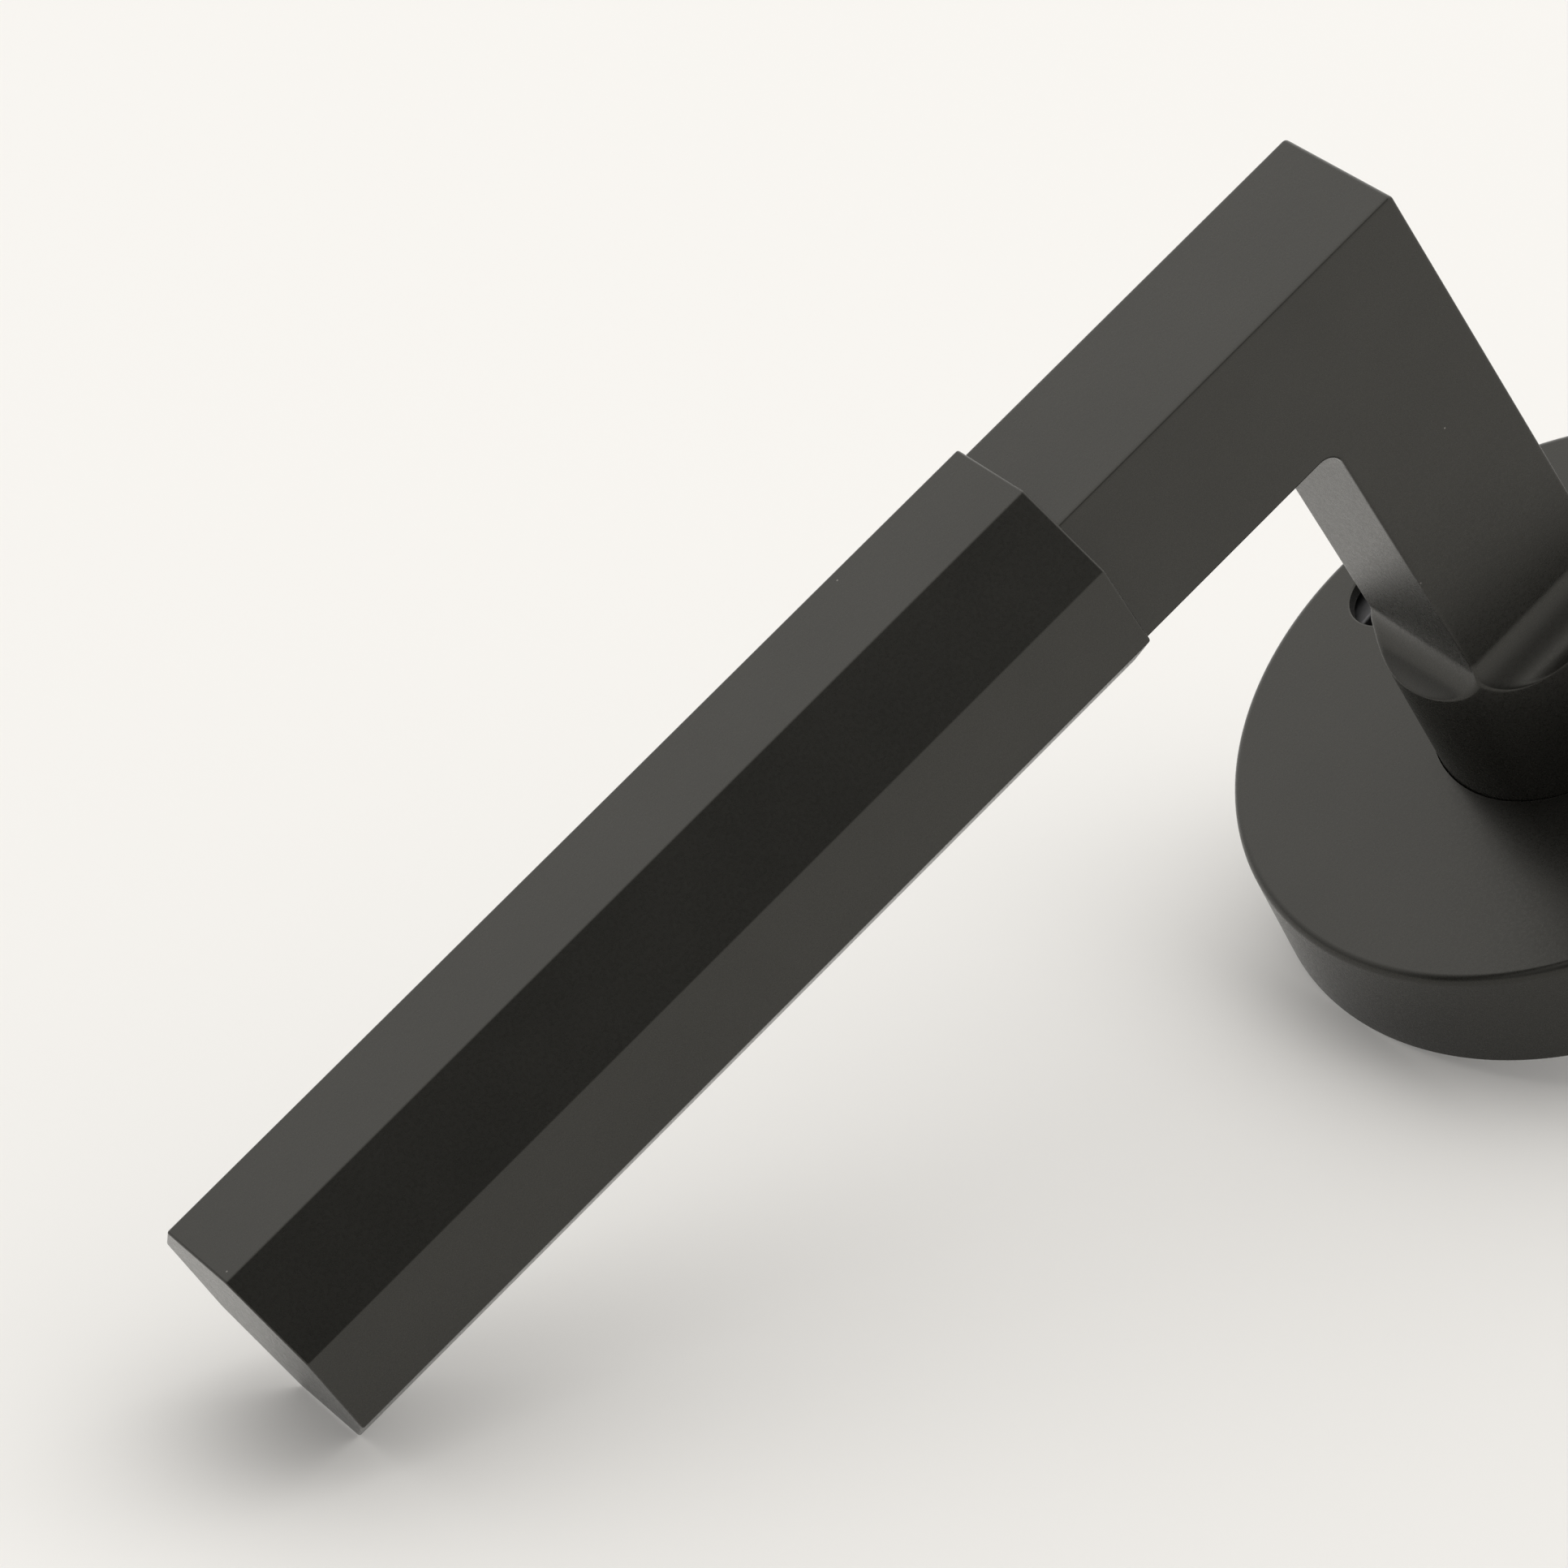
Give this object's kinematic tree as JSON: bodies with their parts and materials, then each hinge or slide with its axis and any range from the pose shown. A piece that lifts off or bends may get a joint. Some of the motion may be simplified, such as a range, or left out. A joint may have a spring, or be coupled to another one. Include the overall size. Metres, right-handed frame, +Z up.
{
  "type": "lever door handle on round rose",
  "caption": "Matt black L-shaped lever door handle with an octagonal grip on a round rose, with sprung cassette, square spindle and through-door fixings.",
  "frame": {"origin": "on the spindle's axis, in the plane of the door's face that the rose lies against", "axes": "+Y into the door along the spindle, -Y out towards the hand, +Z up, lever pointing to +X"},
  "size_m": [0.1319, 0.1155, 0.0544],
  "materials": {
    "black_coat": "matt black powder coat over a zinc casting",
    "black_steel": "black oxide screw steel",
    "zinc_plate": "bright zinc plated steel",
    "spring_steel": "oiled spring steel",
    "zinc_casting": "bare die-cast zinc, slightly grainy",
    "nylon": "natural nylon"
  },
  "bodies": {
    "root": {"rose_cover": "black_coat", "mounting_base": "zinc_casting", "cassette_plate": "zinc_plate", "plate_screw_1": "zinc_plate", "plate_screw_2": "zinc_plate", "plate_screw_3": "zinc_plate", "plate_screw_4": "zinc_plate", "bearing_bush": "nylon", "thrust_washer": "nylon", "wave_washer": "spring_steel", "return_spring": "spring_steel", "through_bolt_left": "zinc_plate", "through_bolt_right": "zinc_plate", "sleeve_nut_left": "zinc_plate", "sleeve_nut_right": "zinc_plate", "release_spring": "spring_steel"},
    "lever": {"lever_arm": "black_coat", "lever_grip": "black_coat", "grip_set_screw": "black_steel", "spindle_set_screw": "black_steel", "spindle": "zinc_plate", "spring_rotor": "spring_steel", "circlip": "spring_steel"},
    "release": {"release_plunger": "black_steel", "release_clip": "spring_steel"}
  },
  "joints": [
    {"name": "lever_turn", "type": "hinge", "parent": "root", "child": "lever", "pos_m": [0, 0, 0], "axis": [0, 1, 0], "range_deg": [-45, 45], "stiffness_Nm_per_rad": 1.6, "springref_deg": -4.58, "deforming": ["return_spring"]},
    {"name": "release_push", "type": "slide", "parent": "root", "child": "release", "axis": [0, 1, 0], "range_m": [0, 0.003], "stiffness_N_per_m": 250, "springref_m": -0.002, "deforming": ["release_spring"]}
  ]
}
